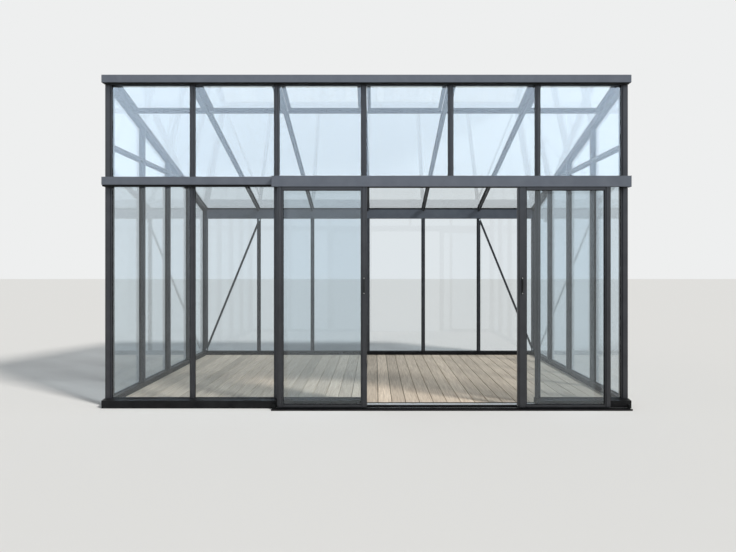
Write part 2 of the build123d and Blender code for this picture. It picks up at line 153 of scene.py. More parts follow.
def blend(tree, share, low, high):
    """A colour between two others."""
    return add(tree, "ShaderNodeMix", {0: share, 6: low, 7: high}, data_type="RGBA").outputs[2]


def bump(tree, height, strength, depth):
    """The normals of a skin with hills and pits. The depth is in metres."""
    inputs = {"Height": height, "Strength": strength, "Distance": depth}
    return add(tree, "ShaderNodeBump", inputs).outputs["Normal"]


def skin(tree, output, inputs):
    """Ends a material in one Principled shader."""
    shader = add(tree, "ShaderNodeBsdfPrincipled", inputs)
    tree.links.new(shader.outputs["BSDF"], output.inputs["Surface"])


print("mid grey is", [round(v, 3) for v in colour("#808080")])

# %% [markdown]
# The frame is extruded aluminium with a polyester powder coat, baked on in an anthracite grey. Powder
# flows out to a satin skin with an orange peel of about 2 mm, which shows only where light grazes it.
# Out of doors it gathers a thin film of dust, so the tone wanders a little over the length of a bar.
# The coat is a plastic over the metal: its metallic value is 0 and its IOR that of a resin, 1.5. Its skin
# is finely textured, and the small pits hide a part of the mirror, so the specular level is under 0.5.
# The broad level rails, which are the fascia, the mid rail, the header cover and the eaves beam, mirror
# the bright sky and so look lighter than the bars: their coat is a lighter, bluer copy, with that
# reflection painted into its colour. The ground frame lies in shade and mirrors no sky, so it looks black
# and dull: its coat is a darker copy with a weaker mirror, with that shade painted into its colour. Each
# of the two gets a coat of its own.


# %% Powder-coated aluminium
def powder_coat(name, hex_value, roughness, mirror=0.35):
    """Satin powder coat: even colour, a faint orange peel and a trace of dust."""
    material, tree, output = new_material(name)
    place = object_place(tree)
    dust = noise(tree, place, 7, 6, 0.62)
    clean = colour(hex_value)
    dusty = [min(1, share * 1.22 + 0.010) for share in clean[:3]] + [1]
    tone = blend(tree, spread(tree, dust, 0, 1, 0.35, 0.75), clean, dusty)
    rough = spread(tree, dust, roughness - 0.04, roughness + 0.08)
    peel = bump(tree, noise(tree, place, 500, 2), 0.12, 0.0004)
    coat = {"Base Color": tone, "Roughness": rough, "Normal": peel}
    skin(tree, output, {**coat, "IOR": 1.5, "Specular IOR Level": mirror})
    return material


frame_coat = powder_coat("anthracite_powder_coat", "#2b2c30", 0.38)
door_coat = powder_coat("anthracite_powder_coat_doors", "#292a2d", 0.36)
# Painted sky reflection: a lighter, bluer copy of the coat for the level rails.
sky_reflection_rail_coat = powder_coat("anthracite_powder_coat_painted_sky_reflection", "#535861", 0.42)
# Painted shade: a darker copy of the coat, with a weaker mirror, for the ground frame.
shaded_ground_coat = powder_coat("dark_ground_frame_coat_painted_shade", "#0f0f10", 0.45, 0.12)
brace_coat = powder_coat("painted_steel_flat", "#2e3033", 0.46)
handle_coat = powder_coat("black_satin_coat", "#1b1c1d", 0.3)
coats = frame_coat, door_coat, sky_reflection_rail_coat, shaded_ground_coat, brace_coat, handle_coat
print("made", [coat.name for coat in coats])

# %% [markdown]
# The panes are toughened float glass, 5 mm thick. Seen square on, it takes a tenth of the red and less
# of the rest, and near grazing it mirrors. Glass with refraction would need many bounces and would cast
# a black shadow. A Transparent shader under a thin mirror lets the daylight through to the floor. Layer
# Weight's Facing gives the mirror its share, because it reads the same from both sides of a pane, where
# a Fresnel node would take the far side for the inside of solid glass. A pane also carries a thin film
# of dried rain, which shows as a little more haze in broad patches.


# %% Float glass
def float_glass(name, hex_value, mirror_square_on):
    """Clear glass: what is behind it shows through a faint tint, under a mirror for grazing light."""
    material, tree, output = new_material(name)
    facing = add(tree, "ShaderNodeLayerWeight", {"Blend": 0.12}).outputs["Facing"]
    share = spread(tree, facing, mirror_square_on, 1)
    haze = spread(tree, noise(tree, object_place(tree), 2.3, 4), 0.01, 0.05)
    clear = add(tree, "ShaderNodeBsdfTransparent", {"Color": colour(hex_value)})
    mirror = add(tree, "ShaderNodeBsdfGlossy", {"Color": colour("#f2f6f7"), "Roughness": haze})
    mix = add(tree, "ShaderNodeMixShader", {0: share, 1: clear.outputs[0], 2: mirror.outputs[0]})
    tree.links.new(mix.outputs[0], output.inputs["Surface"])
    return material


pane_glass = float_glass("toughened_float_glass", "#f7fafc", 0.04)
print("made", pane_glass.name)

# %% [markdown]
# The floor is planed softwood decking, weathered to a silvery beige. Annual rings cut lengthways make
# streaks a few millimetres wide that run the whole board, and each board comes from another tree, so it
# has its own tone. White Noise fed with the number of the board gives every board that tone, and the
# same number shifts the grain so that it doesn't run on from one board to the next.

# %% Deck timber
board_width = 0.120
board_gap = 0.005
board_pitch = board_width + board_gap
floor_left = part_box("timber_floor")[0].x


def deck_timber(name, dark, pale):
    """Weathered softwood with its grain along Y and a tone for each board."""
    material, tree, output = new_material(name)
    place = object_place(tree)
    across = add(tree, "ShaderNodeSeparateXYZ", {"Vector": place}).outputs["X"]
    from_edge = add(tree, "ShaderNodeMath", {0: across, 1: floor_left}, operation="SUBTRACT")
    count = add(tree, "ShaderNodeMath", {0: from_edge.outputs[0], 1: board_pitch}, operation="DIVIDE")
    number = add(tree, "ShaderNodeMath", {0: count.outputs[0]}, operation="FLOOR")
    own = add(tree, "ShaderNodeTexWhiteNoise", {"W": number.outputs[0]}, noise_dimensions="1D")
    jump = {0: own.outputs["Color"], 1: (3, 9, 3)}
    shift = add(tree, "ShaderNodeVectorMath", jump, operation="MULTIPLY")
    moved = add(tree, "ShaderNodeVectorMath", {0: place, 1: shift.outputs[0]}, operation="ADD")
    drawn_out = add(tree, "ShaderNodeMapping", {"Vector": moved.outputs[0], "Scale": (1, 0.035, 1)})
    rings = noise(tree, drawn_out.outputs[0], 95, 5)
    fibre = noise(tree, drawn_out.outputs[0], 620, 2)
    streak = add(tree, "ShaderNodeMix", {0: 0.35, 2: rings, 3: fibre}, data_type="FLOAT").outputs[0]
    tone = blend(tree, spread(tree, streak, 0, 1, 0.32, 0.68), colour(dark), colour(pale))
    level = spread(tree, own.outputs["Value"], 0.82, 1.12)
    board = add(tree, "ShaderNodeHueSaturation", {"Color": tone, "Value": level}).outputs[0]
    wood = {"Base Color": board, "Roughness": 0.72, "IOR": 1.45}
    skin(tree, output, {**wood, "Normal": bump(tree, streak, 0.3, 0.0006)})
    return material


boards_finish = deck_timber("weathered_deck_softwood", "#c2b09c", "#f7e9d5")
print("made", boards_finish.name, "board pitch", board_pitch)

# %% [markdown]
# The small pieces need more finishes. Glazing rubber is EPDM, a dull black with hardly a mirror. Screws
# and bolts are turned stainless steel, whose lathe marks are rings too fine to see, so the metal only
# gets a broken roughness. The rollers are moulded nylon, a black plastic with a soft sheen. The brush
# strips are black pile. The sheet under the boards is a woven membrane of black tape, 2 mm to a tape, and
# its black is painted shade for the gaps between the boards. The strip on the threshold is bare
# aluminium, with the lines that its die drew.


# %% Rubber, nylon, membrane, stainless steel and bare aluminium
def moulded(name, hex_value, roughness, grain, depth, mirror=0.5):
    """A dark moulded or woven plastic or rubber with a fine uneven skin."""
    material, tree, output = new_material(name)
    uneven = noise(tree, object_place(tree), grain, 3)
    low = colour(hex_value)
    high = [share * 1.6 + 0.004 for share in low[:3]] + [1]
    look = {"Base Color": blend(tree, uneven, low, high), "Normal": bump(tree, uneven, 0.3, depth)}
    skin(tree, output, {**look, "Roughness": roughness, "IOR": 1.5, "Specular IOR Level": mirror})
    return material


def stainless(name):
    """Turned stainless steel: a pale metal with a broken roughness."""
    material, tree, output = new_material(name)
    rough = spread(tree, noise(tree, object_place(tree), 900, 3), 0.22, 0.4)
    skin(tree, output, {"Base Color": colour("#c6c5c2"), "Metallic": 1, "Roughness": rough})
    return material


def brushed_aluminium(name):
    """Bare extruded aluminium, with die lines 1 mm apart that run along X."""
    material, tree, output = new_material(name)
    along = {"Vector": object_place(tree), "Scale": (0.01, 1, 1)}
    lines = noise(tree, add(tree, "ShaderNodeMapping", along).outputs[0], 1000, 2)
    look = {"Roughness": spread(tree, lines, 0.28, 0.5), "Normal": bump(tree, lines, 0.15, 0.0002)}
    skin(tree, output, {"Base Color": colour("#e3e4e4"), "Metallic": 1, **look})
    return material


rubber = moulded("epdm_rubber", "#0d0e0e", 0.8, 300, 0.0003, 0.15)
nylon = moulded("black_nylon", "#1b1b1d", 0.42, 220, 0.0002)
pile = moulded("polypropylene_brush_pile", "#1c1c1c", 0.9, 700, 0.0012, 0.2)
# Its black is painted shade for the gaps between the deck boards.
gap_shade_membrane = moulded("woven_membrane_painted_gap_shade", "#151615", 0.8, 500, 0.0008, 0.2)
steel = stainless("turned_stainless_steel")
bare_aluminium = brushed_aluminium("bare_extruded_aluminium")
print("made", [m.name for m in (rubber, nylon, pile, gap_shade_membrane, steel, bare_aluminium)])

# %% [markdown]
# Every solid of the frame takes the surface of its own material slot, so nothing keeps a plain colour.
# The level rails take the copy with the painted sky reflection, and the ground frame the copy with the
# painted shade, so they are named one by one.

# %% Dress the frame
surface_of_slot = {
    "frame": frame_coat,
    "door_frame": door_coat,
    "glass": pane_glass,
    "braces": brace_coat,
    "boards": boards_finish,
    "rollers": nylon,
    "handle": handle_coat,
}
level_rails = ["ridge_beam", "mid_rail", "header_cover", "eave_beam"]
ground_frame = ["front_sill_left", "front_sill_right", "back_sill", "left_sill", "right_sill"]
ground_frame += ["door_threshold", "door_track"]
# Painted sky reflection on the level rails, painted shade on the ground frame.
surface_of_node = {name: sky_reflection_rail_coat for name in level_rails}
surface_of_node.update({name: shaded_ground_coat for name in ground_frame})
for subpart in frame["record"]["subparts"]:
    solid = nodes[subpart["node"]]
    surface = surface_of_node.get(subpart["node"], surface_of_slot[subpart["material_slot"]])
    solid.data.materials.clear()
    solid.data.materials.append(surface)
print("dressed", len(nodes), "solids")

# %% [markdown]
# New pieces all start and end in the same way. A bmesh holds the shape while it is made, and one
# function turns it into an object that rides on a body of the frame. Two shapes come back again and
# again: a block with eased edges and a round part along an axis, so each gets a helper.


# %% Helpers for new pieces
def finished(name, shape, material, body):
    """Turns a bmesh into a piece that rides on a body."""
    bmesh.ops.recalc_face_normals(shape, faces=shape.faces[:])
    mesh = bpy.data.meshes.new(name)
    shape.to_mesh(mesh)
    shape.free()
    mesh.materials.append(material)
    piece = bpy.data.objects.new(name, mesh)
    bpy.context.scene.collection.objects.link(piece)
    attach(piece, body)
    print(name, len(mesh.polygons), "faces")
    return piece


def ease(shape, edges, width, segments=1):
    """Bevels edges. The defaults of the operator aren't those of the editor, so all are given."""
    bmesh.ops.bevel(
        shape,
        geom=list(edges),
        offset=width,
        offset_type="OFFSET",
        affect="EDGES",
        segments=segments,
        profile=0.5,
        material=-1,
    )


def block(shape, low, high, eased=0.0, segments=1):
    """A block between two corners, with its edges eased."""
    low, high = Vector(low), Vector(high)
    place = Matrix.Translation((low + high) / 2) @ Matrix.Diagonal((*(high - low), 1))
    made = bmesh.ops.create_cube(shape, size=1, matrix=place)["verts"]
    if eased:
        ease(shape, {edge for vert in made for edge in vert.link_edges}, eased, segments)


def turned(shape, foot, along, radius, length, sides=12, top_radius=None):
    """A round part that stands on its foot along an axis. Returns its top face."""
    turn = Vector(along).to_track_quat("Z", "Y").to_matrix().to_4x4()
    place = Matrix.Translation(Vector(foot) + Vector(along).normalized() * length / 2) @ turn
    made = bmesh.ops.create_cone(
        shape,
        cap_ends=True,
        segments=sides,
        radius1=radius,
        radius2=top_radius or radius,
        depth=length,
        matrix=place,
    )["verts"]
    faces = {face for vert in made for face in vert.link_faces}
    return max(faces, key=lambda face: face.calc_center_median().dot(Vector(along)))


def screw(shape, foot, along, radius=0.004, height=0.0015, sides=10):
    """A screw head: a low cone whose top is inset and pressed in for the driver."""
    top = turned(shape, foot, along, radius, height, sides, radius * 0.8)
    bmesh.ops.inset_individual(shape, faces=[top], thickness=radius * 0.35, depth=-height * 0.6)


print("helpers ready")

# %% [markdown]
# The places of the walls and rails come from the frame itself, and the lines of the bars are given. The
# bars stand on seven lines along the front and five along the sides, and the roof falls 15.6 degrees from
# the ridge to the back. One bar section, 60 mm deep, serves the walls and the rafters.

# %% Places in the frame
bay_lines = [-2.300, -1.550, -0.800, -0.025, 0.750, 1.525, 2.300]
side_bay, bar_depth, post_width = 0.750, 0.060, 0.064
bar_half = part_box("front_upper_mullions")[1].x - bay_lines[5]
side_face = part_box("mid_rail")[1].x
post_edge = side_face - post_width
front_inside = front_face + bar_depth
back_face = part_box("back_mullions")[1].y
back_inside = back_face - bar_depth
side_lines = [front_face + bar_depth / 2 + side_bay * n for n in range(5)]

sill_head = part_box("left_sill")[1].z
mid_rail_foot, mid_rail_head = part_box("mid_rail")[0].z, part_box("mid_rail")[1].z
ridge_foot, ridge_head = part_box("ridge_beam")[0].z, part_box("ridge_beam")[1].z
eave_beam_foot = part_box("eave_beam")[0].z
side_rail_line = 2.330

roof_pitch = math.radians(15.6)
rafter_drop = 0.022
rafter_start = ridge_head - rafter_drop


def roof_height(y, depth=0.0):
    """Height of the roof at y, this far under the tops of the rafters."""
    return rafter_start - (y - front_inside) * math.tan(roof_pitch) - depth / math.cos(roof_pitch)


bays = [
    (max(left + bar_half, -post_edge), min(right - bar_half, post_edge))
    for left, right in zip(bay_lines[:-1], bay_lines[1:])
]
print("bays", [(round(a, 4), round(b, 4)) for a, b in bays], "bar half", round(bar_half, 4))

# %% [markdown]
# Rubber beads press each pane into its slot. They show as a thin black line between the bar and the
# glass, inside and outside, and they make a pane read as held and not as painted on. Each ring starts as
# one face over the daylight opening. The face is inset by the width of the bead, the middle is thrown
# away, and the rim that is left is extruded towards the looker and eased. A face that stands alone has
# only boundary edges, so the inset is told to take those too.

# %% Rubber beads round the panes
bead_width, bead_height, bead_ease = 0.003, 0.0035, 0.001
pane_near = 0.0145
pane_thickness = 0.005
pane_far = pane_near + pane_thickness


def bead_ring(shape, corners, outwards, width=bead_width, height=bead_height):
    """A bead round an opening with these corners, standing up along outwards."""
    opening = shape.faces.new([shape.verts.new(corner) for corner in corners])
    opening.normal_update()
    if opening.normal.dot(Vector(outwards)) < 0:
        opening.normal_flip()
    even = {"use_even_offset": True, "use_boundary": True}
    rim = bmesh.ops.inset_region(shape, faces=[opening], thickness=width, **even)["faces"]
    bmesh.ops.delete(shape, geom=[opening], context="FACES")
    raised = bmesh.ops.extrude_face_region(shape, geom=rim)["geom"]
    top = [item for item in raised if isinstance(item, bmesh.types.BMVert)]
    bmesh.ops.translate(shape, verts=top, vec=Vector(outwards) * height)
    faces = {item for item in raised if isinstance(item, bmesh.types.BMFace)}
    edges = {edge for face in faces for edge in face.edges}
    ease(shape, [edge for edge in edges if len({f in faces for f in edge.link_faces}) == 2], bead_ease)


def upright(left, right, foot, head, y):
    """Corners of an opening in a wall along X."""
    return [(left, y, foot), (right, y, foot), (right, y, head), (left, y, head)]


beads = bmesh.new()
front_openings = [(bays[n], sill_head, mid_rail_foot) for n in (0, 1, 2, 5)]
front_openings += [(bay, mid_rail_head, ridge_foot) for bay in bays]
for (left, right), foot, head in front_openings:
    bead_ring(beads, upright(left, right, foot, head, front_face + pane_near), (0, -1, 0))
    bead_ring(beads, upright(left, right, foot, head, front_face + pane_far), (0, 1, 0))
for left, right in bays:
    bead_ring(beads, upright(left, right, sill_head, eave_beam_foot, back_face - pane_near), (0, 1, 0))
    bead_ring(beads, upright(left, right, sill_head, eave_beam_foot, back_face - pane_far), (0, -1, 0))
finished("front_and_back_beads", beads, rubber, "house")

# %% [markdown]
# The side panes are cut to the roof, so their openings have a sloping head. The rail crosses the first
# three bays only, where the wall is high enough for it.

# %% Beads of the side walls
beads = bmesh.new()
side_starts = [front_inside] + [line + bar_half for line in side_lines[1:4]]
side_ends = [line - bar_half for line in side_lines[1:4]] + [back_inside]
for bay, (start, end) in enumerate(zip(side_starts, side_ends)):
    heads = roof_height(start, bar_depth), roof_height(end, bar_depth)
    openings = [(sill_head, *heads)]
    if bay < 3:
        rail_foot, rail_head = side_rail_line - bar_half, side_rail_line + bar_half
        openings = [(sill_head, min(rail_foot, heads[0]), min(rail_foot, heads[1]))]
        if heads[1] > rail_head:
            openings.append((rail_head, *heads))
    for side in (-1, 1):
        for depth, way in ((pane_near, side), (pane_far, -side)):
            x = side * (side_face - depth)
            for foot, head_start, head_end in openings:
                ring = [(x, start, foot), (x, end, foot), (x, end, head_end), (x, start, head_start)]
                bead_ring(beads, ring, (way, 0, 0))
finished("side_beads", beads, rubber, "house")

# %% [markdown]
# On the roof the caps of the rafters hold the panes from above. Water has to run off at the eaves, so
# there the beads are single strips up both sides of each pane. A strip is a block laid level and then
# turned about X by the pitch of the roof. The panes start under the vents, 495 mm down the roof. The
# strips under them end before the cross bars at the head and before the eaves beam at the foot.

# %% Beads of the roof
roof_start = 0.495
clear_of_cross_bar, clear_of_eave_beam = 0.015, 0.150
eaves_y = back_face + 0.030
roof_end = (eaves_y - front_inside) / math.cos(roof_pitch)
down_roof = Matrix.Translation((0, front_inside, rafter_start)) @ Matrix.Rotation(-roof_pitch, 4, "X")
strips = bmesh.new()
for left, right in bays:
    for low, high in ((left, left + bead_width), (right - bead_width, right)):
        over = (low, roof_start, -pane_near), (high, roof_end, -pane_near + bead_height)
        block(strips, *over, bead_ease)
        if high < post_edge:
            under_low = (low, roof_start + clear_of_cross_bar, -pane_far - bead_height)
            block(strips, under_low, (high, roof_end - clear_of_eave_beam, -pane_far), bead_ease)
bmesh.ops.transform(strips, matrix=down_roof, verts=strips.verts[:])
finished("roof_beads", strips, rubber, "house")

# %% [markdown]
# More runs of black rubber lie along the long joints. A thin one lies under the fascia and a high one
# under the mid rail, and one more fills the head of the doorway, where the leaves close against it. These
# are painted shade: their black stands for the dark band of shadow under the rails. The last one fills
# the gap between the roof panes and the eaves beam, with a lip over the beam's inner face. It is a seal
# in that gap, and the black of its lip is painted shade, the dark line along the top of the beam.

# %% Rubber seals and painted shade under the rails and at the eaves
shade_strips = bmesh.new()
rail_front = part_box("mid_rail")[0].y
fascia_shade_seal, mid_rail_shade_seal = 0.002, 0.014
whole_front = -side_face + 0.002, side_face - 0.002
doorway = bay_lines[3] + bar_half, bay_lines[5] - bar_half
# Black strips of painted shade under the fascia, the mid rail and the doorway head.
for (left, right), back, foot, height in (
    (whole_front, front_face, ridge_foot, fascia_shade_seal),
    (whole_front, front_face, mid_rail_foot, mid_rail_shade_seal),
    (doorway, front_inside, mid_rail_foot, mid_rail_shade_seal),
):
    block(shade_strips, (left, rail_front + 0.004, foot - height), (right, back, foot), height / 4)
finished("rail_shade_seals", shade_strips, rubber, "house")

eave_seal_and_shade_lip = bmesh.new()
flange_depth, seal_thickness, seal_width = 0.028, 0.008, 0.030
seal_start = (back_inside - front_inside + flange_depth * math.sin(roof_pitch)) / math.cos(roof_pitch)
seal_end = seal_start + seal_width
for left, right in bays:
    foot = (left, seal_start, -flange_depth + 0.0001)
    block(eave_seal_and_shade_lip, foot, (right, seal_end, -flange_depth + seal_thickness), 0.001)
bmesh.ops.transform(eave_seal_and_shade_lip, matrix=down_roof, verts=eave_seal_and_shade_lip.verts[:])
beam_head = roof_height(back_inside, flange_depth)
# The black lip is painted shade: the dark line along the top of the eaves beam.
for left, right in bays:
    lip = (left, back_inside - 0.003, beam_head - 0.012), (right, back_inside, beam_head + 0.008)
    block(eave_seal_and_shade_lip, *lip, 0.001)
finished("eave_seals_and_painted_shade_lip", eave_seal_and_shade_lip, rubber, "house")
print("eaves beam head at", round(beam_head, 4))

# %% [markdown]
# The vents are framed panes hinged at the ridge and closed on their cross bars. Each pane has a bead on
# both sides. A sash hangs on two hinges: a strap on the sash and three short barrels on one pin, made
# as turned parts along X. A small catch under the lower rail keeps it shut. All of it is laid out level
# and then turned into the roof. The sashes start 7.3 mm down the roof, clear of the ridge beam.

# %% Beads, hinges and catches of the vents
sash_width, sash_top, sash_bottom, sash_gap = 0.030, 0.005, -0.020, 0.005
sash_start = 0.0073
sash_low, sash_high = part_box("vent_frames")
sash_reach = sash_high.y - sash_low.y - (sash_top - sash_bottom) * math.sin(roof_pitch)
sash_end = sash_start + sash_reach / math.cos(roof_pitch)
pane_middle = (sash_top + sash_bottom) / 2
hinge_from_side, strap_half, barrel_starts = 0.14, 0.03, (-0.0295, -0.0095, 0.0105)
strap_start, strap_end, strap_head = sash_start + 0.001, sash_start + 0.028, sash_top + 0.0025
beads, hinges, catches = bmesh.new(), bmesh.new(), bmesh.new()
for left, right in [(left + sash_gap, right - sash_gap) for left, right in bays]:
    low, high = left + sash_width, right - sash_width
    near, far = sash_start + sash_width, sash_end - sash_width
    for way in (-1, 1):
        z = pane_middle + way * pane_thickness / 2
        bead_ring(beads, [(low, near, z), (high, near, z), (high, far, z), (low, far, z)], (0, 0, way))
    for middle in (left + hinge_from_side, right - hinge_from_side):
        strap_low = (middle - strap_half, strap_start, sash_top)
        block(hinges, strap_low, (middle + strap_half, strap_end, strap_head), 0.0008)
        for barrel in barrel_starts:
            foot = (middle + barrel, sash_start + 0.004, sash_top + 0.003)
            turned(hinges, foot, (1, 0, 0), 0.004, 0.019)
        for place in (-0.018, 0.018):
            foot = (middle + place, sash_start + 0.018, strap_head)
            screw(hinges, foot, (0, 0, 1), 0.003, 0.001, 8)
    middle = (left + right) / 2
    keep_low = (middle - 0.022, sash_end - 0.030, sash_bottom - 0.006)
    block(catches, keep_low, (middle + 0.022, sash_end - 0.016, sash_bottom), 0.002, 2)
    knob_foot = (middle, sash_end - 0.023, sash_bottom - 0.005)
    turned(catches, knob_foot, (0, 0, -1), 0.006, 0.016, 14, 0.0075)
for name, shape, surface in (
    ("vent_beads", beads, rubber),
    ("vent_hinges", hinges, frame_coat),
    ("vent_catches", catches, handle_coat),
):
    bmesh.ops.transform(shape, matrix=down_roof, verts=shape.verts[:])
    finished(name, shape, surface, "house")
print("sash from", sash_start, "to", round(sash_end, 4), "down the roof")

# %% [markdown]
# The floor is a deck of 120 mm boards with 5 mm gaps that run from front to back. The construction has
# one slab for them. The last board is ripped to the width that is left. A 22 mm board lies on a black
# membrane, which is painted shade: it makes the gaps as dark as the shadow down in them. Edges are planed
# round by 2.5 mm.

# %% Floor boards
board_thickness, narrowest_board = 0.022, 0.020
floor_low, floor_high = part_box("timber_floor")
board_foot = floor_high.z - board_thickness
deck = bmesh.new()
board_sides = []
left = floor_low.x
while left < floor_high.x - narrowest_board:
    right = min(left + board_width, floor_high.x)
    block(deck, (left, floor_low.y, board_foot), (right, floor_high.y, floor_high.z), 0.0025)
    board_sides.append((left, right))
    left += board_pitch
deck_piece = finished("deck_boards", deck, boards_finish, "house")

# A black sheet under the boards: painted shade in the gaps.
sheet = bmesh.new()
block(sheet, floor_low, (floor_high.x, floor_high.y, board_foot - 0.0005), 0.0005)
sheet_piece = finished("deck_membrane_painted_gap_shade", sheet, gap_shade_membrane, "house")
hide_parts("timber_floor")
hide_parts("timber_floor")
last_left, last_right = board_sides[-1]
print("boards", len(board_sides), "last one", round(last_right - last_left, 3), "wide")

# %% [markdown]
# Two screws hold each board on each bearer, about 500 mm apart. Their heads sit just under the surface
# of the wood. Seven rows on thirty-seven boards make hundreds of them, so each has few faces.

# %% Deck screws
rows, row_from_end, screw_from_side, wide_enough_for_two = 7, 0.045, 0.025, 0.080
head_radius, head_height = 0.0042, 0.0009
row_start, row_end = floor_low.y + row_from_end, floor_high.y - row_from_end
heads = bmesh.new()
for row in range(rows):
    y = row_start + (row_end - row_start) * row / (rows - 1)
    for left, right in board_sides:
        pair = left + screw_from_side, right - screw_from_side
        for x in pair if right - left > wide_enough_for_two else [(left + right) / 2]:
            foot = (x, y, floor_high.z - head_height)
            screw(heads, foot, (0, 0, 1), head_radius, head_height, 8)
finished("deck_screws", heads, steel, "house")

# %% [markdown]
# The pull on each leaf is a flat plate with a fin to grip, black like the stile, so that only its two
# bright screws show from afar. The plate is a block with its two ends rounded: the four edges that run
# from front to back are bevelled by nearly half its width. The fin gets round edges for the hand.

# %% Door pulls
plate_thickness, fin_half_width, fin_half_height, screw_from_middle = 0.004, 0.0035, 0.058, 0.0665
for word in ("left_door", "right_door"):
    low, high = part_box(f"{word}_handle")
    middle = (low + high) / 2
    plate_front = high.y - plate_thickness
    pull = bmesh.new()
    place = Matrix.Translation((middle.x, (high.y + plate_front) / 2, middle.z))
    size = Matrix.Diagonal((high.x - low.x, plate_thickness, high.z - low.z, 1))
    made = bmesh.ops.create_cube(pull, size=1, matrix=place @ size)["verts"]
    ends = {e for v in made for e in v.link_edges if abs(e.verts[0].co.y - e.verts[1].co.y) > 0.001}
    ease(pull, ends, (high.x - low.x) / 2 - 0.0002, 6)
    fronts = [f for f in pull.faces if f.calc_center_median().y < plate_front + 0.0001]
    ease(pull, {e for f in fronts for e in f.edges}, 0.001, 2)
    fin_low = (middle.x - fin_half_width, low.y, middle.z - fin_half_height)
    fin_high = (middle.x + fin_half_width, plate_front + 0.001, middle.z + fin_half_height)
    block(pull, fin_low, fin_high, 0.003, 3)
    piece = finished(f"{word}_pull", pull, handle_coat, word)
    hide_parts(f"{word}_handle")
    screws = bmesh.new()
    for way in (-1, 1):
        foot = (middle.x, plate_front, middle.z + way * screw_from_middle)
        screw(screws, foot, (0, -1, 0), 0.0048, 0.0022, 14)
    finished(f"{word}_pull_screws", screws, steel, word)

# %% [markdown]
# A pane in a leaf has its own bead, inside and outside, down in the step of the stiles. Brush strips run
# up the backs of the stiles and close the gap to the wall. Cap screws hold the rails in the stiles: each
# shows as a small head on the outer edge of a stile.

# %% Beads, brushes and screws of the leaves
leaf_pane_foot, leaf_pane_head = 0.044, 1.914
leaf_bead_width, leaf_bead_height = 0.0035, 0.005
for word in ("left_door", "right_door"):
    pane_low, pane_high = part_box(f"{word}_glass")
    rail_low, rail_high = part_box(f"{word}_rails")
    stile_low, stile_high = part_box(f"{word}_stiles")
    beads = bmesh.new()
    for y, way in ((pane_low.y, -1), (pane_high.y, 1)):
        ring = upright(rail_low.x, rail_high.x, leaf_pane_foot, leaf_pane_head, y)
        bead_ring(beads, ring, (0, way, 0), leaf_bead_width, leaf_bead_height)
    finished(f"{word}_beads", beads, rubber, word)

    brushes = bmesh.new()
    for x in (stile_low.x + 0.012, stile_high.x - 0.012):
        foot = (x - 0.003, stile_high.y, stile_low.z + 0.010)
        block(brushes, foot, (x + 0.003, stile_high.y + 0.007, stile_high.z - 0.010), 0.001)
    finished(f"{word}_brushes", brushes, pile, word)

    screws = bmesh.new()
    for x, way in ((stile_low.x, -1), (stile_high.x, 1)):
        for z in (leaf_pane_foot - 0.011, leaf_pane_head + 0.016, leaf_pane_head + 0.040):
            foot = (x - way * 0.0002, (stile_low.y + stile_high.y) / 2, z)
            screw(screws, foot, (way, 0, 0), 0.003, 0.0014)
    finished(f"{word}_corner_screws", screws, steel, word)

# %% [markdown]
# The track is screwed down behind its front lip, and a rubber buffer stops a leaf at each of its ends.
# The rollers have worn the top of the runner bright. The photograph shows it as a thin light line.

# %% Track: buffers, screws and the worn runner
track_low, track_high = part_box("door_track")
leaf_low, leaf_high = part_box("right_door_stiles")
track_base, runner_head, runner_half = 0.008, 0.016, 0.004
runner_middle = (leaf_low.y + leaf_high.y) / 2
near, far = leaf_low.y + 0.004, leaf_high.y - 0.004
left_end, right_end = track_low.x + 0.002, track_high.x - 0.002
beside = runner_half + 0.0003
buffers = bmesh.new()
for low_x, high_x in ((left_end, left_end + 0.028), (right_end - 0.016, right_end)):
    block(buffers, (low_x, near, runner_head + 0.0001), (high_x, far, 0.042), 0.003, 2)
    for low_y, high_y in ((near, runner_middle - beside), (runner_middle + beside, far)):
        block(buffers, (low_x, low_y, track_base + 0.0001), (high_x, high_y, 0.020), 0.001)
finished("track_buffers", buffers, rubber, "house")

first_screw, screw_pitch = -0.776, 0.744
screws = bmesh.new()
for n in range(5):
    foot = (first_screw + screw_pitch * n, (track_low.y + leaf_low.y) / 2, track_base)
    screw(screws, foot, (0, 0, 1), 0.0045, 0.0018)
finished("track_screws", screws, steel, "house")

runner = bmesh.new()
worn_half = runner_half - 0.0004
worn_low = (track_low.x + 0.035, runner_middle - worn_half, runner_head - 0.0005)
worn_high = (track_high.x - 0.022, runner_middle + worn_half, runner_head + 0.0002)
block(runner, worn_low, worn_high, 0.0003)
finished("worn_runner", runner, steel, "house")

# %% [markdown]
# A bare aluminium strip on the threshold takes the wear of shoes, and shows as one more light line. The
# header has a cover with open ends, closed by a small cap at each end.

# %% Threshold strip and header caps
step_low, step_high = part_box("door_threshold")
strip_front, strip_width = step_low.y + 0.028, 0.040
strip = bmesh.new()
strip_low = (step_low.x + 0.004, strip_front, step_high.z - 0.001)
strip_high = (step_high.x - 0.004, strip_front + strip_width, step_high.z + 0.0018)
block(strip, strip_low, strip_high, 0.0012)
strip_screws, strip_from_end = 5, 0.060
screw_reach = step_high.x - step_low.x - 2 * strip_from_end
for n in range(strip_screws):
    x = step_low.x + strip_from_end + screw_reach * n / (strip_screws - 1)
    foot = (x, strip_front + strip_width / 2, step_high.z + 0.0017)
    screw(strip, foot, (0, 0, 1), 0.0042, 0.0008)
finished("threshold_strip", strip, bare_aluminium, "house")

cover_low, cover_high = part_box("header_cover")
caps = bmesh.new()
for x, way in ((cover_low.x, 1), (cover_high.x, -1)):
    low_x, high_x = sorted((x - way * 0.0005, x + way * 0.003))
    cap_low = (low_x, cover_low.y - 0.0008, cover_low.z - 0.001)
    block(caps, cap_low, (high_x, rail_front - 0.0005, cover_high.z + 0.001), 0.0006)
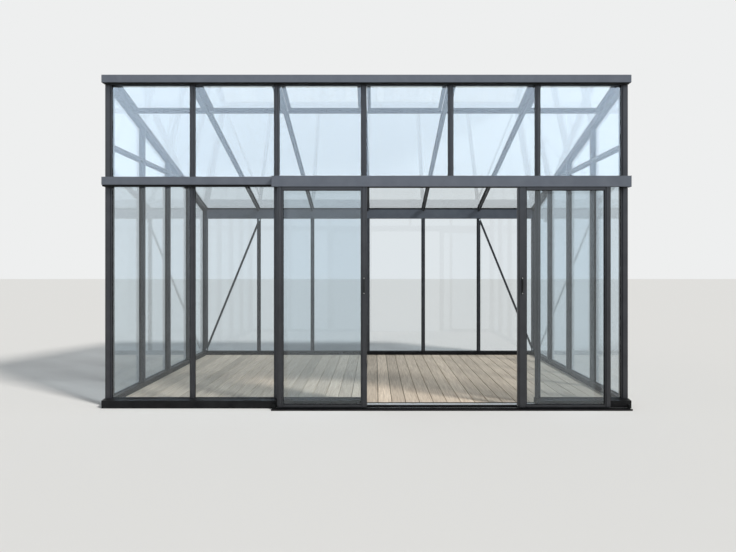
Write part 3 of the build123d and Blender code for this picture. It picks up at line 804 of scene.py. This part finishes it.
# The caps take the coat of the header cover, with its painted sky reflection.
finished("header_end_caps", caps, sky_reflection_rail_coat, "house")

# %% [markdown]
# The gutter is folded sheet with a round bead rolled along its lip, which stiffens it and is what shows
# from behind. Straps across the top keep it from spreading, one at each bar.

# %% Gutter bead and straps
gutter_low, gutter_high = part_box("gutter")
bead_radius, strap_half = 0.005, 0.0125
rolled = bmesh.new()
lip = (gutter_low.x, gutter_high.y - bead_radius, gutter_high.z - 0.003)
turned(rolled, lip, (1, 0, 0), bead_radius, gutter_high.x - gutter_low.x, 14)
for line in bay_lines[1:-1]:
    strap_low = (line - strap_half, gutter_low.y + 0.001, gutter_high.z - 0.004)
    block(rolled, strap_low, (line + strap_half, gutter_high.y - 0.004, gutter_high.z - 0.001), 0.0008)
    for y in (gutter_low.y + 0.015, gutter_high.y - 0.018):
        screw(rolled, (line, y, gutter_high.z - 0.001), (0, 0, 1), 0.004, 0.0014)
finished("gutter_bead_and_straps", rolled, frame_coat, "house")

# %% [markdown]
# Water leaves the gutter through an outlet near its right end: a collar against the sheet and a short
# pipe under it. The pipe starts as a solid part. Its lower face is inset by the wall of the pipe, and
# then once more with a depth, which pushes it up inside. The sawn tails of the rafters over the gutter
# are closed with moulded caps, 2 mm thick.

# %% Gutter outlet and rafter caps
outlet_x, pipe_radius, pipe_length = 2.14, 0.025, 0.070
outlet = bmesh.new()
outlet_foot = (outlet_x, (gutter_low.y + gutter_high.y) / 2, gutter_low.z)
turned(outlet, outlet_foot, (0, 0, -1), 0.032, 0.005, 28)
mouth = turned(outlet, outlet_foot, (0, 0, -1), pipe_radius, pipe_length, 28)
bmesh.ops.inset_individual(outlet, faces=[mouth], thickness=0.002)
bmesh.ops.inset_individual(outlet, faces=[mouth], thickness=0.0002, depth=-0.030)
finished("gutter_outlet", outlet, frame_coat, "house")

tail_head, tail_foot = roof_height(eaves_y), roof_height(eaves_y, flange_depth)
tails = [(line - bar_half, line + bar_half) for line in bay_lines[1:-1]]
tails += [(-side_face, -post_edge), (post_edge, side_face)]
cap_thickness = 0.002
tail_caps = bmesh.new()
for left, right in tails:
    low = (left + 0.0005, eaves_y + 0.0001, tail_foot + 0.0005)
    block(tail_caps, low, (right - 0.0005, eaves_y + cap_thickness, tail_head - 0.001), 0.0008)
finished("rafter_end_caps", tail_caps, nylon, "house")
print("tails", len(tails), "from", round(tail_foot, 3), "to", round(tail_head, 3))

# %% [markdown]
# Every bar of the front and the back is screwed to the sill and to the rail over it through its nose,
# 30 mm from each end. The heads are countersunk and coated like the doors, so they only show from near
# by, 0.3 mm out of the metal.

# %% Bar screws
screw_height, standing_out, from_end = 0.0015, 0.0003, 0.030
sunk = screw_height - standing_out
bar_screws = bmesh.new()
lower_lines = [bay_lines[n] for n in (1, 2, 3, 5)]
fixings = [(x, z) for x in lower_lines for z in (sill_head + from_end, mid_rail_foot - from_end)]
fixings += [(x, z) for x in bay_lines[1:-1] for z in (mid_rail_head + from_end, ridge_foot - from_end)]
for x, z in fixings:
    screw(bar_screws, (x, front_face + sunk, z), (0, -1, 0), 0.0042, screw_height)
for x in bay_lines[1:-1]:
    for z in (sill_head + from_end, eave_beam_foot - from_end):
        screw(bar_screws, (x, back_face - sunk, z), (0, 1, 0), 0.0042, screw_height)
finished("bar_screws", bar_screws, door_coat, "house")

# %% [markdown]
# The wind braces are flat steel, bolted at both ends. A bolt has a six-sided head on a washer. The
# washer is a low disc, and the head on top of it tapers a little. A brace runs from the last bar at the
# eaves down to the corner post, and its bolts sit just inside its ends.

# %% Brace bolts
brace_low, brace_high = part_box("wind_braces")
bolts = bmesh.new()
brace_head_x, brace_foot_x = bay_lines[-2], post_edge + 0.015
bolt_shares = (0.012, 0.985)
for side in (-1, 1):
    for share in bolt_shares:
        x = side * (brace_head_x + (brace_foot_x - brace_head_x) * share)
        z = brace_high.z + (brace_low.z - brace_high.z) * share
        turned(bolts, (x, brace_low.y + 0.0002, z), (0, -1, 0), 0.010, 0.0018, 18)
        turned(bolts, (x, brace_low.y - 0.0014, z), (0, -1, 0), 0.0065, 0.0055, 6, 0.0058)
finished("brace_bolts", bolts, steel, "house")

# %% [markdown]
# The setting is a pale studio: a large plain floor, an even pale world, and one broad lamp from the
# right, as the daylight falls in the photograph. Light Path tells the world what asks: the camera, a
# mirror or clear glass gets the plain backdrop, and everything else the light that fills the shadows. A
# lamp as broad as this would stand in the roof panes as a white disc, so mirrors don't see it.

# %% Studio
floor_half = 60
shape = bmesh.new()
bmesh.ops.create_grid(shape, x_segments=1, y_segments=1, size=floor_half)
floor_mesh = bpy.data.meshes.new("studio_floor")
shape.to_mesh(floor_mesh)
shape.free()
studio_floor = bpy.data.objects.new("studio_floor", floor_mesh)
bpy.context.scene.collection.objects.link(studio_floor)
floor_paint, floor_tree, floor_output = new_material("pale_studio_paint")
floor_skin = add(floor_tree, "ShaderNodeBsdfDiffuse", {"Color": colour("#e6e6e4")})
floor_tree.links.new(floor_skin.outputs[0], floor_output.inputs["Surface"])
floor_mesh.materials.append(floor_paint)
studio_floor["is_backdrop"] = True

world = bpy.data.worlds.new("studio")
bpy.context.scene.world = world
world.use_nodes = True
sky = world.node_tree
sky.nodes.clear()
ray = add(sky, "ShaderNodeLightPath")
seen = ray.outputs["Is Camera Ray"]
for kind in ("Is Glossy Ray", "Is Transmission Ray"):
    seen = add(sky, "ShaderNodeMath", {0: seen, 1: ray.outputs[kind]}, operation="MAXIMUM").outputs[0]
fill_strength = 0.42
fill = add(sky, "ShaderNodeBackground", {"Color": colour("#eaedf1"), "Strength": fill_strength})
backdrop = add(sky, "ShaderNodeBackground", {"Color": colour("#eeefef"), "Strength": 1})
either = add(sky, "ShaderNodeMixShader", {0: seen, 1: fill.outputs[0], 2: backdrop.outputs[0]})
add(sky, "ShaderNodeOutputWorld", {"Surface": either.outputs[0]})

sun_from_overhead, sun_from_front, sun_breadth = 50, 52, 10
key_data = bpy.data.lights.new("key", "SUN")
key_data.energy = 2.9
key_data.color = colour("#fffcf8")[:3]
key_data.angle = math.radians(sun_breadth)
key = bpy.data.objects.new("key", key_data)
key.rotation_euler = (math.radians(sun_from_overhead), 0, math.radians(sun_from_front))
key.visible_glossy = False
bpy.context.scene.collection.objects.link(key)
bpy.context.scene.view_settings.view_transform = "Standard"
print("key lamp", key_data.energy)

# %% [markdown]
# In the photograph the upper panes and both rails mirror bright daylight, and the lower panes don't. A
# studio gets that sheen from a large soft panel behind the camera. Its lower edge is worked out from the
# mirror image of the camera behind the front wall: a ray from there past the foot of the mid rail meets
# it. The panel is twice as high as the upper row needs, because a satin rail gathers its light from a
# wide cone. It is for mirrors only: as a lamp it would leave a bright pool on the floor before it.

# %% Sky panel
panel_y = -20
mirrored_camera_y = front_face + camera_distance
stretch = (mirrored_camera_y - panel_y) / camera_distance
panel_low = camera_height + (mid_rail_foot - camera_height) * stretch
panel_high = panel_low + 2 * (ridge_head - mid_rail_foot) * stretch
panel_margin = 1
panel_half = side_face * stretch + panel_margin
panel_data = bpy.data.lights.new("sky_panel", "AREA")
panel_data.shape = "RECTANGLE"
panel_data.size, panel_data.size_y = 2 * panel_half, panel_high - panel_low
panel_data.color = colour("#c9dcf3")[:3]
brightness = 4
panel_data.energy = brightness * math.pi * panel_data.size * panel_data.size_y
panel = bpy.data.objects.new("sky_panel", panel_data)
panel.location = (0, panel_y, (panel_low + panel_high) / 2)
panel.rotation_euler = (math.radians(90), 0, 0)
panel.visible_camera = False
panel.visible_diffuse = False
bpy.context.scene.collection.objects.link(panel)
print("panel", round(2 * panel_half, 1), "m wide, from", round(panel_low, 2), "to", round(panel_high, 2))

# %% [markdown]
# The box round all that the visual model shows is worked out, with the studio floor left out.

# %% Sizes, and the end
low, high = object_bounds()
